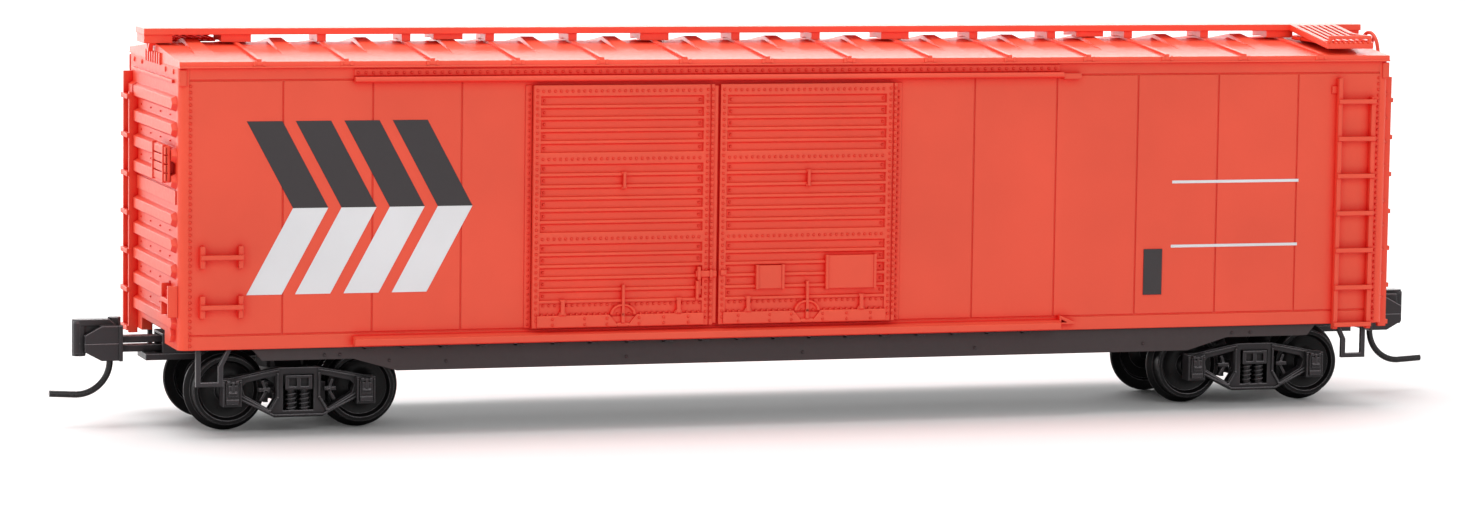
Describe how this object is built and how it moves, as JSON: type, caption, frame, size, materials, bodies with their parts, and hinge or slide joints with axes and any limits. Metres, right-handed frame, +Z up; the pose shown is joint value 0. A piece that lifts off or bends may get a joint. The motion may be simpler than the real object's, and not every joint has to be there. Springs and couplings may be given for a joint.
{
  "type": "model railroad boxcar",
  "caption": "Small-scale model of a double-door railroad boxcar with swivelling trucks, turning wheelsets, swinging couplers and sliding side doors.",
  "frame": {"origin": "centre of the car's footprint, on the plane of the wheel flanges' lowest points", "axes": "+X along the car towards its hand-brake (B) end, +Y across it, +Z up"},
  "size_m": [0.1164, 0.0212, 0.0309],
  "materials": {
    "red_body": "satin",
    "red_roof": "satin",
    "black_plastic": "satin",
    "sill_paint": "matte",
    "wheel_plastic": "satin",
    "black_wire": "satin",
    "white_print": "matte",
    "black_print": "matte",
    "steel_plate": "satin"
  },
  "bodies": {
    "car": {"side_left": "red_body", "side_right": "red_body", "side_sill_left": "sill_paint", "side_sill_right": "sill_paint", "door_track_left": "red_body", "door_track_right": "red_body", "end_a": "red_body", "end_b": "red_body", "roof": "red_roof", "running_board": "red_roof", "floor": "black_plastic", "centre_sill": "black_plastic", "body_bolster_a": "black_plastic", "body_bolster_b": "black_plastic", "weight": "steel_plate", "ladder_side_left": "red_body", "ladder_side_right": "red_body", "ladder_end_a": "red_body", "ladder_end_b": "red_body", "grab_irons": "red_body", "sill_steps": "black_plastic", "brake_wheel": "red_body", "brake_gear": "red_body", "brake_step": "red_body", "air_brake": "black_plastic", "king_pin_a": "black_plastic", "king_pin_b": "black_plastic"},
    "truck_a": {"truck_frame_a": "black_plastic", "coupler_lid_a": "black_plastic"},
    "wheelset_outer_a": {"wheelset_outer_a": "wheel_plastic"},
    "wheelset_inner_a": {"wheelset_inner_a": "wheel_plastic"},
    "coupler_a": {"coupler_upper_a": "black_plastic", "coupler_lower_a": "black_plastic", "trip_pin_a": "black_wire"},
    "truck_b": {"truck_frame_b": "black_plastic", "coupler_lid_b": "black_plastic"},
    "wheelset_outer_b": {"wheelset_outer_b": "wheel_plastic"},
    "wheelset_inner_b": {"wheelset_inner_b": "wheel_plastic"},
    "coupler_b": {"coupler_upper_b": "black_plastic", "coupler_lower_b": "black_plastic", "trip_pin_b": "black_wire"},
    "door_left_a": {"door_left_a": "red_body"},
    "door_left_b": {"door_left_b": "red_body"},
    "door_right_a": {"door_right_a": "red_body"},
    "door_right_b": {"door_right_b": "red_body"}
  },
  "joints": [
    {"name": "truck_a_swivel", "type": "hinge", "parent": "car", "child": "truck_a", "pos_m": [-0.04, 0, 0.0065], "axis": [0, 0, 1], "range_deg": [-12, 12]},
    {"name": "wheelset_outer_a_spin", "type": "hinge", "parent": "truck_a", "child": "wheelset_outer_a", "pos_m": [-0.04525, 0, 0.0032], "axis": [0, 1, 0], "continuous": true},
    {"name": "wheelset_inner_a_spin", "type": "hinge", "parent": "truck_a", "child": "wheelset_inner_a", "pos_m": [-0.03475, 0, 0.0032], "axis": [0, 1, 0], "continuous": true},
    {"name": "coupler_a_swing", "type": "hinge", "parent": "truck_a", "child": "coupler_a", "pos_m": [-0.0469, 0, 0.00643], "axis": [0, 0, 1], "range_deg": [-8, 8]},
    {"name": "truck_b_swivel", "type": "hinge", "parent": "car", "child": "truck_b", "pos_m": [0.04, 0, 0.0065], "axis": [0, 0, 1], "range_deg": [-12, 12]},
    {"name": "wheelset_outer_b_spin", "type": "hinge", "parent": "truck_b", "child": "wheelset_outer_b", "pos_m": [0.04525, 0, 0.0032], "axis": [0, 1, 0], "continuous": true},
    {"name": "wheelset_inner_b_spin", "type": "hinge", "parent": "truck_b", "child": "wheelset_inner_b", "pos_m": [0.03475, 0, 0.0032], "axis": [0, 1, 0], "continuous": true},
    {"name": "coupler_b_swing", "type": "hinge", "parent": "truck_b", "child": "coupler_b", "pos_m": [0.0469, 0, 0.00643], "axis": [0, 0, 1], "range_deg": [-8, 8]},
    {"name": "door_left_a_slide", "type": "slide", "parent": "car", "child": "door_left_a", "axis": [-1, 0, 0], "range_m": [0, 0.0135]},
    {"name": "door_left_b_slide", "type": "slide", "parent": "car", "child": "door_left_b", "axis": [1, 0, 0], "range_m": [0, 0.0135]},
    {"name": "door_right_a_slide", "type": "slide", "parent": "car", "child": "door_right_a", "axis": [1, 0, 0], "range_m": [0, 0.0135]},
    {"name": "door_right_b_slide", "type": "slide", "parent": "car", "child": "door_right_b", "axis": [-1, 0, 0], "range_m": [0, 0.0135]}
  ]
}
